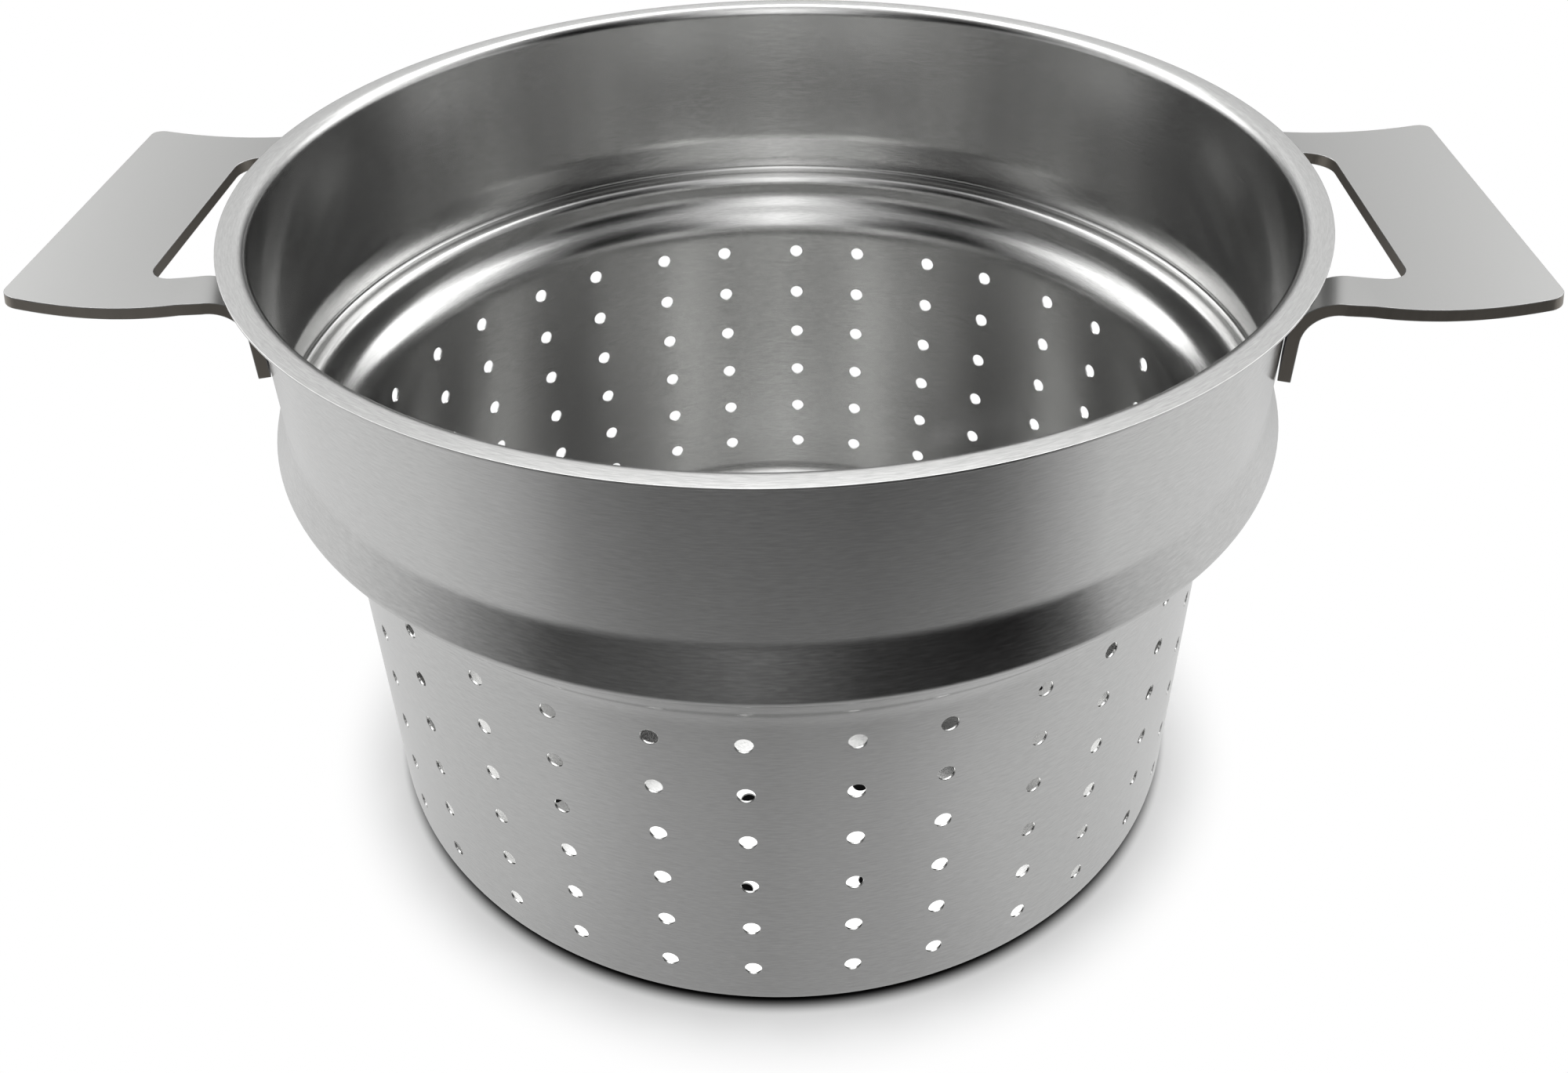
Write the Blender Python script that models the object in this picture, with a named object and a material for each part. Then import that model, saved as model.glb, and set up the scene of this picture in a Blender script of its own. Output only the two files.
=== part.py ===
"""Stainless steel steamer insert for a 24 cm stockpot: a drawn and perforated shell with two plate handles.

Units are metres, +Z is up and the origin is the middle of the resting face. The handles lie along X.
"""

import math

import bmesh
import bpy
from mathutils import Matrix, Vector

# Shell: one sheet, drawn to a collar, a shoulder whose flat ledge sits on the stockpot, a step and a basket
SHEET = 0.0006
SHELL_HEIGHT = 0.1650
RIM_DIAMETER = 0.2500
RIM_ROOT_RADIUS = 0.0022
COLLAR_DIAMETER = 0.2382
SHOULDER_TOP_DROP = 0.0407
LEDGE_DROP = 0.0536
LEDGE_WIDTH = 0.0064
SHOULDER_EDGE_RADIUS = 0.0018
STEP_TOP_RADIUS = 0.0026
STEP_HEIGHT = 0.0073
STEP_BOTTOM_RADIUS = 0.0068
STEP_WIDTH = 0.0068
SLOPE_HEIGHT = 0.0054
BASKET_TOP_RADIUS = 0.0080
BASKET_DIAMETER = 0.2204
BASE_CORNER_RADIUS = 0.0060

# Perforation: pairs of hole columns round the wall, and rings of holes in the base
WALL_HOLE_DIAMETER = 0.0040
HOLE_PAIRS = 16
PAIR_SPREAD = math.radians(10.34)
PAIR_START = math.radians(16.0)
HOLE_ROWS = 6
FIRST_ROW_DROP = 0.0760
ROW_PITCH = 0.0148
BASE_HOLE_DIAMETER = 0.0040
BASE_RINGS = 3
BASE_FIRST_RING = 0.0152
BASE_RING_PITCH = 0.0304
FIRST_RING_HOLES = 3
HOLES_MORE_PER_RING = 6
BASE_START = math.radians(-103.5)
RING_TWIST = math.radians(4.2)
PUNCH_PASS = 0.0025

# Handles: flat plate, gently dished, with two arms folded down against the collar
PLATE = 0.0028
HANDLE_REACH = 0.1663
GRIP_HALF_WIDTH = 0.0459
GRIP_DEPTH = 0.0273
GRIP_CORNER_RADIUS = 0.0035
SIDE_SWELL = 0.0008
SLOT_HALF_WIDTH = 0.0332
SLOT_CORNER_RADIUS = 0.0060
ARM_WIDTH = 0.0133
ARM_ANGLE = math.radians(17.65)
FOLD_RADIUS = 0.0080
TAB_END_DROP = 0.0301
DISH_DROP = 0.0102
DISH_PLACE = 0.1400
DISH_RADIUS = 0.1250
EDGE_BREAK = 0.0004

# Clearance that stands for a touching, spot-welded face
SEAT_GAP = 0.0003

# Fineness of the facets
SHELL_STEPS_PER_PAIR = 4
HOLE_SIDES = 8
BASE_CORNER_STEPS = 3
BASKET_TOP_STEPS = 2
STEP_BOTTOM_STEPS = 1
STEP_TOP_STEPS = 2
SHOULDER_EDGE_STEPS = 2
RIM_ROOT_STEPS = 1
FOLD_STEPS = 6
DISH_STEPS = 10
CORNER_STEPS = 4
SIDE_STEPS = 4

# Edges that turn more than these angles stay sharp on the shell, and are broken on the handles
SHELL_SHARP_ANGLE = math.radians(35.0)
BROKEN_EDGE_ANGLE = math.radians(60.0)

# Points nearer than this count as one
SAME_PLACE = 1e-7

# Looks of the two finishes
STEEL_COLOUR = (0.56, 0.56, 0.55, 1.0)
STEEL_ROUGHNESS = 0.28
SATIN_COLOUR = (0.62, 0.62, 0.61, 1.0)
SATIN_ROUGHNESS = 0.38


def clear_scene():
    """Remove every object that the file opens with."""
    for item in list(bpy.data.objects):
        bpy.data.objects.remove(item, do_unlink=True)


def steel(name, colour, roughness):
    """Return a metallic Principled material."""
    material = bpy.data.materials.new(name)
    material.use_nodes = True
    shader = material.node_tree.nodes["Principled BSDF"]
    shader.inputs["Base Color"].default_value = colour
    shader.inputs["Metallic"].default_value = 1.0
    shader.inputs["Roughness"].default_value = roughness
    return material


def add_object(name, mesh_builder, material=None):
    """Turn a bmesh into a linked object that carries one material."""
    mesh = bpy.data.meshes.new(name)
    mesh_builder.to_mesh(mesh)
    mesh_builder.free()
    item = bpy.data.objects.new(name, mesh)
    bpy.context.scene.collection.objects.link(item)
    if material is not None:
        mesh.materials.append(material)
    return item


def arc(centre, radius, start, end, steps):
    """Return points of a plane arc, from the start angle to the end angle in radians."""
    points = []
    for step in range(steps + 1):
        angle = start + (end - start) * step / steps
        points.append(Vector((centre[0] + radius * math.cos(angle), centre[1] + radius * math.sin(angle))))
    return points


def fillet(before, corner, after, radius, steps):
    """Return the points of a round of the given radius in the corner of a line."""
    back = (Vector(before) - Vector(corner)).normalized()
    ahead = (Vector(after) - Vector(corner)).normalized()
    half_angle = back.angle(ahead) / 2
    centre = Vector(corner) + (back + ahead).normalized() * radius / math.sin(half_angle)
    first = Vector(corner) + back * radius / math.tan(half_angle) - centre
    last = Vector(corner) + ahead * radius / math.tan(half_angle) - centre
    start = math.atan2(first.y, first.x)
    sweep = math.remainder(math.atan2(last.y, last.x) - start, 2 * math.pi)
    return arc(centre, radius, start, start + sweep, steps)


def shell_profile():
    """Return the shell's outer line as (radius, height) points, from the base up to the rim's edge."""
    basket = BASKET_DIAMETER / 2
    step = basket + STEP_WIDTH
    collar = COLLAR_DIAMETER / 2
    ledge_height = SHELL_HEIGHT - LEDGE_DROP
    slope_height = ledge_height - STEP_HEIGHT
    rim_underside = SHELL_HEIGHT - SHEET
    base_middle = (0, 0)
    base_corner = (basket, 0)
    basket_top = (basket, slope_height - SLOPE_HEIGHT)
    step_bottom = (step, slope_height)
    step_top = (step, ledge_height)
    shoulder_edge = (step + LEDGE_WIDTH, ledge_height)
    shoulder_top = (collar, SHELL_HEIGHT - SHOULDER_TOP_DROP)
    rim_root = (collar, rim_underside)
    rim_edge = (RIM_DIAMETER / 2, rim_underside)
    line = fillet(base_middle, base_corner, basket_top, BASE_CORNER_RADIUS, BASE_CORNER_STEPS)
    line += fillet(base_corner, basket_top, step_bottom, BASKET_TOP_RADIUS, BASKET_TOP_STEPS)
    line += fillet(basket_top, step_bottom, step_top, STEP_BOTTOM_RADIUS, STEP_BOTTOM_STEPS)
    line += fillet(step_bottom, step_top, shoulder_edge, STEP_TOP_RADIUS, STEP_TOP_STEPS)
    line += fillet(step_top, shoulder_edge, shoulder_top, SHOULDER_EDGE_RADIUS, SHOULDER_EDGE_STEPS)
    line += [shoulder_top]
    line += fillet(shoulder_top, rim_root, rim_edge, RIM_ROOT_RADIUS, RIM_ROOT_STEPS)
    return line + [rim_edge]


def revolve(profile, steps, start):
    """Return a bmesh of the profile turned about Z, closed at the bottom by one flat face."""
    builder = bmesh.new()
    rings = []
    for radius, height in profile:
        ring = []
        for step in range(steps):
            angle = start + 2 * math.pi * step / steps
            ring.append(builder.verts.new((radius * math.cos(angle), radius * math.sin(angle), height)))
        rings.append(ring)
    for lower, upper in zip(rings[:-1], rings[1:]):
        for step in range(steps):
            following = (step + 1) % steps
            builder.faces.new((lower[step], lower[following], upper[following], upper[step]))
    builder.faces.new(list(reversed(rings[0])))
    return builder


def add_cutter(builder, diameter, matrix):
    """Add one hole-sized prism along the matrix's Z, which passes both faces of the sheet at its origin."""
    bmesh.ops.create_cone(
        builder,
        cap_ends=True,
        segments=HOLE_SIDES,
        radius1=diameter / 2,
        radius2=diameter / 2,
        depth=SHEET + 2 * PUNCH_PASS,
        matrix=matrix,
    )


def wall_hole_angles():
    """Return the angle of each column of wall holes, two to a pair."""
    angles = []
    for pair in range(HOLE_PAIRS):
        middle = PAIR_START + 2 * math.pi * pair / HOLE_PAIRS
        angles.append(middle - PAIR_SPREAD / 2)
        angles.append(middle + PAIR_SPREAD / 2)
    return angles


def hole_cutters():
    """Return one wire object that holds a prism for each hole in the wall and the base."""
    builder = bmesh.new()
    wall_middle = BASKET_DIAMETER / 2 - SHEET / 2
    lay_down = Matrix.Rotation(math.pi / 2, 4, "Y")
    for angle in wall_hole_angles():
        for row in range(HOLE_ROWS):
            height = SHELL_HEIGHT - FIRST_ROW_DROP - ROW_PITCH * row
            place = Matrix.Rotation(angle, 4, "Z") @ Matrix.Translation((wall_middle, 0, height))
            add_cutter(builder, WALL_HOLE_DIAMETER, place @ lay_down)
    for ring in range(BASE_RINGS):
        distance = BASE_FIRST_RING + BASE_RING_PITCH * ring
        count = FIRST_RING_HOLES + HOLES_MORE_PER_RING * ring
        for index in range(count):
            turn = Matrix.Rotation(BASE_START + RING_TWIST * ring + 2 * math.pi * index / count, 4, "Z")
            place = turn @ Matrix.Translation((distance, 0, SHEET / 2))
            add_cutter(builder, BASE_HOLE_DIAMETER, place)
    cutters = add_object("hole_cutters", builder)
    cutters.hide_render = True
    cutters.display_type = "WIRE"
    return cutters


def make_shell(material):
    """Model the drawn sheet: revolve its outer line, give it the sheet's thickness inwards, and pierce it."""
    steps = SHELL_STEPS_PER_PAIR * HOLE_PAIRS
    half_step = math.pi / steps
    builder = revolve(shell_profile(), steps, PAIR_START + half_step)
    for face in builder.faces:
        face.smooth = True
    shell = add_object("insert_shell", builder, material)
    shell.data.set_sharp_from_angle(angle=SHELL_SHARP_ANGLE)
    wall = shell.modifiers.new("sheet", "SOLIDIFY")
    wall.thickness = SHEET
    wall.offset = -1.0
    wall.use_even_offset = True
    pierce = shell.modifiers.new("perforation", "BOOLEAN")
    pierce.operation = "DIFFERENCE"
    pierce.solver = "EXACT"
    pierce.object = hole_cutters()
    return shell


def polar(distance, angle):
    """Return the plan point at a distance from the axis and an angle from X."""
    return Vector((distance * math.cos(angle), distance * math.sin(angle)))


def tab_radius():
    """Return the distance from the axis to the middle of a tab's thickness."""
    return COLLAR_DIAMETER / 2 + SEAT_GAP + PLATE / 2


def fold_start():
    """Return the distance from the axis, along the arm, at which the fold starts."""
    return tab_radius() + PLATE / 2 + FOLD_RADIUS


def level_end():
    """Return the distance along X inside which the plate is level, where the fold line starts."""
    return fold_start() * math.cos(ARM_ANGLE) + ARM_WIDTH / 2 * math.sin(ARM_ANGLE)


def dish_height(across):
    """Return the height of the plate's middle surface at a distance along X."""
    offset = max(across, level_end()) - DISH_PLACE
    rise = DISH_RADIUS - math.sqrt(DISH_RADIUS ** 2 - offset ** 2)
    return SHELL_HEIGHT - DISH_DROP - PLATE / 2 + rise


def folded_length():
    """Return the length of flat plate, from the fold's start inwards, that makes the fold and the tab."""
    bend = FOLD_RADIUS + PLATE / 2
    straight = dish_height(level_end()) - bend - (SHELL_HEIGHT - TAB_END_DROP)
    return bend * math.pi / 2 + straight


def side_edge():
    """Return the points of the handle's side, from its corner to the arm's fold, with a gentle swell."""
    outer = Vector((HANDLE_REACH - GRIP_CORNER_RADIUS, GRIP_HALF_WIDTH))
    root = polar(fold_start(), ARM_ANGLE) + polar(ARM_WIDTH / 2, ARM_ANGLE + math.pi / 2)
    points = []
    for step in range(1, SIDE_STEPS + 1):
        share = step / SIDE_STEPS
        point = outer.lerp(root, share)
        point.y += SIDE_SWELL * math.sin(math.pi * share)
        points.append(point)
    return points


def half_blank():
    """Return one half of the flat blank's outline, from the outer edge round an arm to the slot."""
    side = polar(ARM_WIDTH / 2, ARM_ANGLE + math.pi / 2)
    arm_end = fold_start() - folded_length()
    corner_centre = (HANDLE_REACH - GRIP_CORNER_RADIUS, GRIP_HALF_WIDTH - GRIP_CORNER_RADIUS)
    outer_corner = arc(corner_centre, GRIP_CORNER_RADIUS, 0, math.pi / 2, CORNER_STEPS)
    slot_edge = HANDLE_REACH - GRIP_DEPTH
    slot_centre = (slot_edge - SLOT_CORNER_RADIUS, SLOT_HALF_WIDTH - SLOT_CORNER_RADIUS)
    slot_corner = arc(slot_centre, SLOT_CORNER_RADIUS, math.pi / 2, 0, CORNER_STEPS)
    tab = [
        polar(arm_end, ARM_ANGLE) + side,
        polar(arm_end, ARM_ANGLE) - side,
        polar(fold_start(), ARM_ANGLE) - side,
    ]
    return outer_corner + side_edge() + tab + slot_corner


def blank():
    """Return a bmesh of the whole flat blank, one face in the XY plane."""
    builder = bmesh.new()
    half = half_blank()
    mirrored = [(across, -along) for across, along in reversed(half)]
    corners = [builder.verts.new((across, along, 0)) for across, along in half + mirrored]
    builder.faces.new(corners)
    return builder


def cut_across(builder, point, normal, faces=None):
    """Add an edge line to the blank where a plane crosses it."""
    chosen = builder.faces[:] if faces is None else faces
    edges = {edge for face in chosen for edge in face.edges}
    verts = {vert for face in chosen for vert in face.verts}
    geometry = chosen + list(edges) + list(verts)
    bmesh.ops.bisect_plane(builder, geom=geometry, plane_co=point, plane_no=normal, dist=SAME_PLACE)


def score_blank(builder):
    """Cut the blank into strips, so that it can be dished and folded."""
    cut_across(builder, (0, 0, 0), (0, 1, 0))
    for step in range(1, DISH_STEPS):
        across = level_end() + (HANDLE_REACH - level_end()) * step / DISH_STEPS
        cut_across(builder, (across, 0, 0), (1, 0, 0))
    for hand in (1, -1):
        normal = polar(1.0, hand * ARM_ANGLE).to_3d()
        bend = FOLD_RADIUS + PLATE / 2
        for step in range(FOLD_STEPS + 1):
            distance = fold_start() - bend * math.pi / 2 * step / FOLD_STEPS
            faces = [face for face in builder.faces if face.calc_center_median().y * hand > 0]
            cut_across(builder, normal * distance, normal, faces)
    builder.normal_update()


def fold(point):
    """Move one point of the flat blank to its place on the dished and folded handle."""
    hand = 1 if point.y > 0 else -1
    inwards = polar(1.0, hand * ARM_ANGLE)
    flat = point.xy
    past = fold_start() - flat.dot(inwards)
    if past <= SAME_PLACE:
        return Vector((flat.x, flat.y, dish_height(flat.x)))
    bend = FOLD_RADIUS + PLATE / 2
    turned = min(past / bend, math.pi / 2)
    down = bend * (1 - math.cos(turned)) + max(past - bend * math.pi / 2, 0)
    moved = flat + inwards * (past - bend * math.sin(turned))
    return Vector((moved.x, moved.y, dish_height(level_end()) - down))


def make_handle(name, turn, material):
    """Model one handle: a flat blank, dished and folded, with the plate's thickness and broken edges."""
    builder = blank()
    score_blank(builder)
    for vert in builder.verts:
        vert.co = fold(vert.co)
    builder.normal_update()
    handle = add_object(name, builder, material)
    plate = handle.modifiers.new("plate", "SOLIDIFY")
    plate.thickness = PLATE
    plate.offset = 0.0
    plate.use_even_offset = True
    edges = handle.modifiers.new("broken edges", "BEVEL")
    edges.width = EDGE_BREAK
    edges.segments = 1
    edges.limit_method = "ANGLE"
    edges.angle_limit = BROKEN_EDGE_ANGLE
    handle.rotation_euler = (0, 0, turn)
    return handle


def main():
    """Build the shell and seat both handles on its collar."""
    clear_scene()
    insert = bpy.data.objects.new("steamer_insert", None)
    bpy.context.scene.collection.objects.link(insert)
    pieces = [
        make_shell(steel("brushed steel", STEEL_COLOUR, STEEL_ROUGHNESS)),
        make_handle("right_handle", 0.0, steel("satin steel, right", SATIN_COLOUR, SATIN_ROUGHNESS)),
        make_handle("left_handle", math.pi, steel("satin steel, left", SATIN_COLOUR, SATIN_ROUGHNESS)),
    ]
    for piece in pieces:
        piece.parent = insert


if __name__ == "__main__":
    main()
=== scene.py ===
"""Looks of the steamer insert: a spun and perforated steel shell with two folded plate handles.

Everything is in metres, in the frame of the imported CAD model: +Z is up, the origin is the middle of the
base and the handles lie along X.
"""

import logging
import math
from dataclasses import dataclass, field
from enum import Enum
from typing import Optional

import bpy
from mathutils import Matrix, Vector


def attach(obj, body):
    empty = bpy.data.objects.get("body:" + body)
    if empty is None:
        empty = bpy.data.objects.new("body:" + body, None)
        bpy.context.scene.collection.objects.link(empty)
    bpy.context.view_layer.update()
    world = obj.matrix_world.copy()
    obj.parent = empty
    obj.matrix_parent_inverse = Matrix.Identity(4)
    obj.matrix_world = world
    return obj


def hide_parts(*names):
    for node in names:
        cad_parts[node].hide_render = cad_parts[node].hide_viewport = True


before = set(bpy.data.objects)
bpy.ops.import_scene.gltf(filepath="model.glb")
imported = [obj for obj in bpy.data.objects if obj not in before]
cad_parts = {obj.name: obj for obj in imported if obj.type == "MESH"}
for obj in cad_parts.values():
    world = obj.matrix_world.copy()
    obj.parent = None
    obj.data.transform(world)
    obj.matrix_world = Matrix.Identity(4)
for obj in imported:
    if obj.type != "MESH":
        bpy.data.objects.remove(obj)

log = logging.getLogger("steamer_insert")

Point = tuple[float, float]
Place = tuple[float, float, float]
Tones = tuple[tuple[float, float], ...]
Band = tuple[float, float, Tones]

ROOT_BODY = "root"
PHOTO_WIDTH = 2000
SENSOR_WIDTH_MM = 36.0
MERGE_DISTANCE = 2e-5
ROUNDING_ERROR = 1e-7
SMOOTH_ANGLE = math.radians(40)
SHARP_ANGLE = math.radians(60)
WHITE = (1, 1, 1, 1)


def linear_colour(hex_code: str) -> tuple[float, float, float, float]:
    """Turn an sRGB hex code into a linear colour.

    Args:
        hex_code: Six hex digits after a number sign.

    Returns:
        Linear red, green and blue, and an alpha of 1.
    """
    channels = []
    for start in (1, 3, 5):
        value = int(hex_code[start : start + 2], 16) / 255
        channels.append(value / 12.92 if value <= 0.04045 else ((value + 0.055) / 1.055) ** 2.4)
    return channels[0], channels[1], channels[2], 1.0


def add_node(
    tree: bpy.types.NodeTree,
    kind: str,
    settings: Optional[dict] = None,
    values: Optional[dict] = None,
    links: Optional[dict] = None,
) -> bpy.types.Node:
    """Add a node with its settings, its socket values and the links that come into it.

    Args:
        tree: The tree that the node goes into.
        kind: The node's type name.
        settings: Attributes of the node by name.
        values: Default values by input socket, named or numbered.
        links: Output sockets by the input socket that they feed.

    Returns:
        The new node.
    """
    node = tree.nodes.new(kind)
    for name, value in (settings or {}).items():
        setattr(node, name, value)
    for socket, value in (values or {}).items():
        node.inputs[socket].default_value = value
    for socket, source in (links or {}).items():
        tree.links.new(source, node.inputs[socket])
    return node


def new_material(name: str) -> tuple[bpy.types.Material, bpy.types.NodeTree]:
    """Make a material with an empty node tree.

    Args:
        name: The finish's plain name.

    Returns:
        The material and its tree.
    """
    material = bpy.data.materials.new(name)
    material.use_nodes = True
    material.node_tree.nodes.clear()
    return material, material.node_tree


@dataclass(frozen=True)
class MetalFinish:
    """A steel finish whose roughness and fine relief both follow one grain."""

    name: str
    roughness: float
    roughness_spread: float
    relief_strength: float
    relief_depth: float
    grain_detail: float
    grain_roughness: float

    def surface(
        self,
        tree: bpy.types.NodeTree,
        grain: bpy.types.NodeSocket,
        values: Optional[dict] = None,
        links: Optional[dict] = None,
    ) -> None:
        """Add the metal shader and the output, with which the material ends.

        Args:
            tree: The material's tree.
            grain: The grain's tone.
            values: Further values of the shader's sockets.
            links: Further links into the shader.
        """
        roughness = add_node(
            tree,
            "ShaderNodeMapRange",
            values={
                "To Min": self.roughness - self.roughness_spread,
                "To Max": self.roughness + self.roughness_spread,
            },
            links={"Value": grain},
        )
        relief = add_node(
            tree,
            "ShaderNodeBump",
            values={"Strength": self.relief_strength, "Distance": self.relief_depth},
            links={"Height": grain},
        )
        shader = add_node(
            tree,
            "ShaderNodeBsdfPrincipled",
            values={"Metallic": 1.0, **(values or {})},
            links={
                "Roughness": roughness.outputs["Result"],
                "Normal": relief.outputs["Normal"],
                **(links or {}),
            },
        )
        add_node(tree, "ShaderNodeOutputMaterial", links={"Surface": shader.outputs["BSDF"]})


@dataclass(frozen=True)
class SpunSteel(MetalFinish):
    """Stainless sheet brushed round its axis in short strokes.

    The strokes spread each reflection across themselves, for which the tangent is turned by a quarter.
    So highlights stand as upright streaks on the wall and as fans on the rim, and the strokes' own tone
    shows as fine level dashes.
    """

    name: str = "stainless sheet, brushed round"
    roughness: float = 0.20
    roughness_spread: float = 0.04
    relief_strength: float = 0.05
    relief_depth: float = 0.00002
    grain_detail: float = 3.0
    grain_roughness: float = 0.6
    bright_colour: str = "#E1E1E0"
    dull_colour: str = "#BBBBBA"
    anisotropy: float = 0.85
    anisotropy_turn: float = 0.25
    ring_spacing: float = 0.00028
    scratch_length: float = 0.003
    mean_radius: float = 0.115

    def build(self) -> bpy.types.Material:
        """Build the material; its strokes are coarser than real 0.05 mm grit lines, so that they show.

        Returns:
            The material.
        """
        material, tree = new_material(self.name)
        place = add_node(tree, "ShaderNodeTexCoord")
        split = add_node(tree, "ShaderNodeSeparateXYZ", links={"Vector": place.outputs["Object"]})
        flat = add_node(
            tree, "ShaderNodeCombineXYZ", links={"X": split.outputs["X"], "Y": split.outputs["Y"]}
        )
        radius = add_node(
            tree, "ShaderNodeVectorMath", {"operation": "LENGTH"}, links={0: flat.outputs["Vector"]}
        )
        outward = add_node(
            tree, "ShaderNodeVectorMath", {"operation": "NORMALIZE"}, links={0: flat.outputs["Vector"]}
        )
        strokes_round = self.mean_radius / self.scratch_length
        turned = add_node(
            tree,
            "ShaderNodeVectorMath",
            {"operation": "MULTIPLY"},
            {1: (strokes_round, strokes_round, 0.0)},
            {0: outward.outputs["Vector"]},
        )
        across = add_node(
            tree,
            "ShaderNodeMath",
            {"operation": "ADD"},
            links={0: split.outputs["Z"], 1: radius.outputs["Value"]},
        )
        rings = add_node(
            tree,
            "ShaderNodeMath",
            {"operation": "MULTIPLY"},
            {1: 1.0 / self.ring_spacing},
            {0: across.outputs["Value"]},
        )
        ring_vector = add_node(tree, "ShaderNodeCombineXYZ", links={"Z": rings.outputs["Value"]})
        grain_place = add_node(
            tree,
            "ShaderNodeVectorMath",
            {"operation": "ADD"},
            links={0: turned.outputs["Vector"], 1: ring_vector.outputs["Vector"]},
        )
        grain = add_node(
            tree,
            "ShaderNodeTexNoise",
            values={"Scale": 1.0, "Detail": self.grain_detail, "Roughness": self.grain_roughness},
            links={"Vector": grain_place.outputs["Vector"]},
        )
        shade = add_node(
            tree,
            "ShaderNodeMix",
            {"data_type": "RGBA"},
            {"A": linear_colour(self.dull_colour), "B": linear_colour(self.bright_colour)},
            {"Factor": grain.outputs["Fac"]},
        )
        tangent = add_node(tree, "ShaderNodeTangent", {"direction_type": "RADIAL", "axis": "Z"})
        self.surface(
            tree,
            grain.outputs["Fac"],
            {"Anisotropic": self.anisotropy, "Anisotropic Rotation": self.anisotropy_turn},
            {"Base Color": shade.outputs["Result"], "Tangent": tangent.outputs["Tangent"]},
        )
        return material


@dataclass(frozen=True)
class SatinPlate(MetalFinish):
    """Stainless plate with a fine satin face, so even that it shows soft shade and no image."""

    name: str = "stainless plate, satin"
    roughness: float = 0.40
    roughness_spread: float = 0.04
    relief_strength: float = 0.15
    relief_depth: float = 0.00002
    grain_detail: float = 4.0
    grain_roughness: float = 0.6
    colour: str = "#ABABAA"
    grit: float = 0.0006

    def build(self) -> bpy.types.Material:
        """Build the material, with a faint mottle from the satin grit, drawn coarse enough to show.

        Returns:
            The material.
        """
        material, tree = new_material(self.name)
        place = add_node(tree, "ShaderNodeTexCoord")
        grain = add_node(
            tree,
            "ShaderNodeTexNoise",
            values={
                "Scale": 1.0 / self.grit,
                "Detail": self.grain_detail,
                "Roughness": self.grain_roughness,
            },
            links={"Vector": place.outputs["Object"]},
        )
        self.surface(tree, grain.outputs["Fac"], {"Base Color": linear_colour(self.colour)})
        return material


@dataclass(frozen=True)
class GroundEdge(MetalFinish):
    """The plate's cut edge, ground across its thickness, darker and warmer than its faces."""

    name: str = "stainless plate, ground edge"
    roughness: float = 0.38
    roughness_spread: float = 0.08
    relief_strength: float = 0.5
    relief_depth: float = 0.00005
    grain_detail: float = 3.0
    grain_roughness: float = 0.65
    colour: str = "#9A948C"
    line_spacing: float = 0.0006
    line_length: float = 0.006

    def build(self) -> bpy.types.Material:
        """Build the material, with grinding lines across the edge, drawn coarse enough to show.

        Returns:
            The material.
        """
        material, tree = new_material(self.name)
        place = add_node(tree, "ShaderNodeTexCoord")
        stretched = add_node(
            tree,
            "ShaderNodeMapping",
            values={"Scale": (1 / self.line_spacing, 1 / self.line_spacing, 1 / self.line_length)},
            links={"Vector": place.outputs["Object"]},
        )
        grain = add_node(
            tree,
            "ShaderNodeTexNoise",
            values={"Scale": 1.0, "Detail": self.grain_detail, "Roughness": self.grain_roughness},
            links={"Vector": stretched.outputs["Vector"]},
        )
        self.surface(tree, grain.outputs["Fac"], {"Base Color": linear_colour(self.colour)})
        return material


def deselect_all() -> None:
    """Leave edit mode and deselect every object."""
    if bpy.context.object is not None and bpy.context.object.mode != "OBJECT":
        bpy.ops.object.mode_set(mode="OBJECT")
    bpy.ops.object.select_all(action="DESELECT")


def make_active(item: bpy.types.Object) -> None:
    """Deselect everything, then select one object and make it active.

    Args:
        item: The object.
    """
    deselect_all()
    item.select_set(True)
    bpy.context.view_layer.objects.active = item


def join(items: list[bpy.types.Object], name: str) -> bpy.types.Object:
    """Join objects into the first one.

    Args:
        items: The objects to join.
        name: The name of the joined object and its mesh.

    Returns:
        The joined object.
    """
    deselect_all()
    for item in items:
        item.select_set(True)
    joined = items[0]
    bpy.context.view_layer.objects.active = joined
    bpy.ops.object.join()
    joined.name = name
    joined.data.name = name
    return joined


def weld(item: bpy.types.Object, farthest_looks_in: bool = False) -> None:
    """Merge the points of a mesh that meet, and turn all its faces to the same side.

    Args:
        item: The object.
        farthest_looks_in: Whether the face farthest from the middle has its outside towards the middle.
    """
    make_active(item)
    bpy.ops.object.mode_set(mode="EDIT")
    bpy.ops.mesh.select_all(action="SELECT")
    bpy.ops.mesh.remove_doubles(threshold=MERGE_DISTANCE)
    bpy.ops.mesh.normals_make_consistent(inside=farthest_looks_in)
    bpy.ops.object.mode_set(mode="OBJECT")


def apply_modifiers(item: bpy.types.Object) -> None:
    """Apply every modifier of an object, from the first to the last.

    Args:
        item: The object.
    """
    make_active(item)
    for name in [modifier.name for modifier in item.modifiers]:
        bpy.ops.object.modifier_apply(modifier=name)


def ease_edges(item: bpy.types.Object, width: float, facets: int) -> bpy.types.Modifier:
    """Add a modifier that rounds every sharp edge, and leave it unapplied.

    Args:
        item: The object.
        width: The round's width.
        facets: The number of facets across it.

    Returns:
        The modifier.
    """
    edges = item.modifiers.new("eased edges", "BEVEL")
    edges.width = width
    edges.segments = facets
    edges.limit_method = "ANGLE"
    edges.angle_limit = SHARP_ANGLE
    edges.harden_normals = True
    return edges


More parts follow.
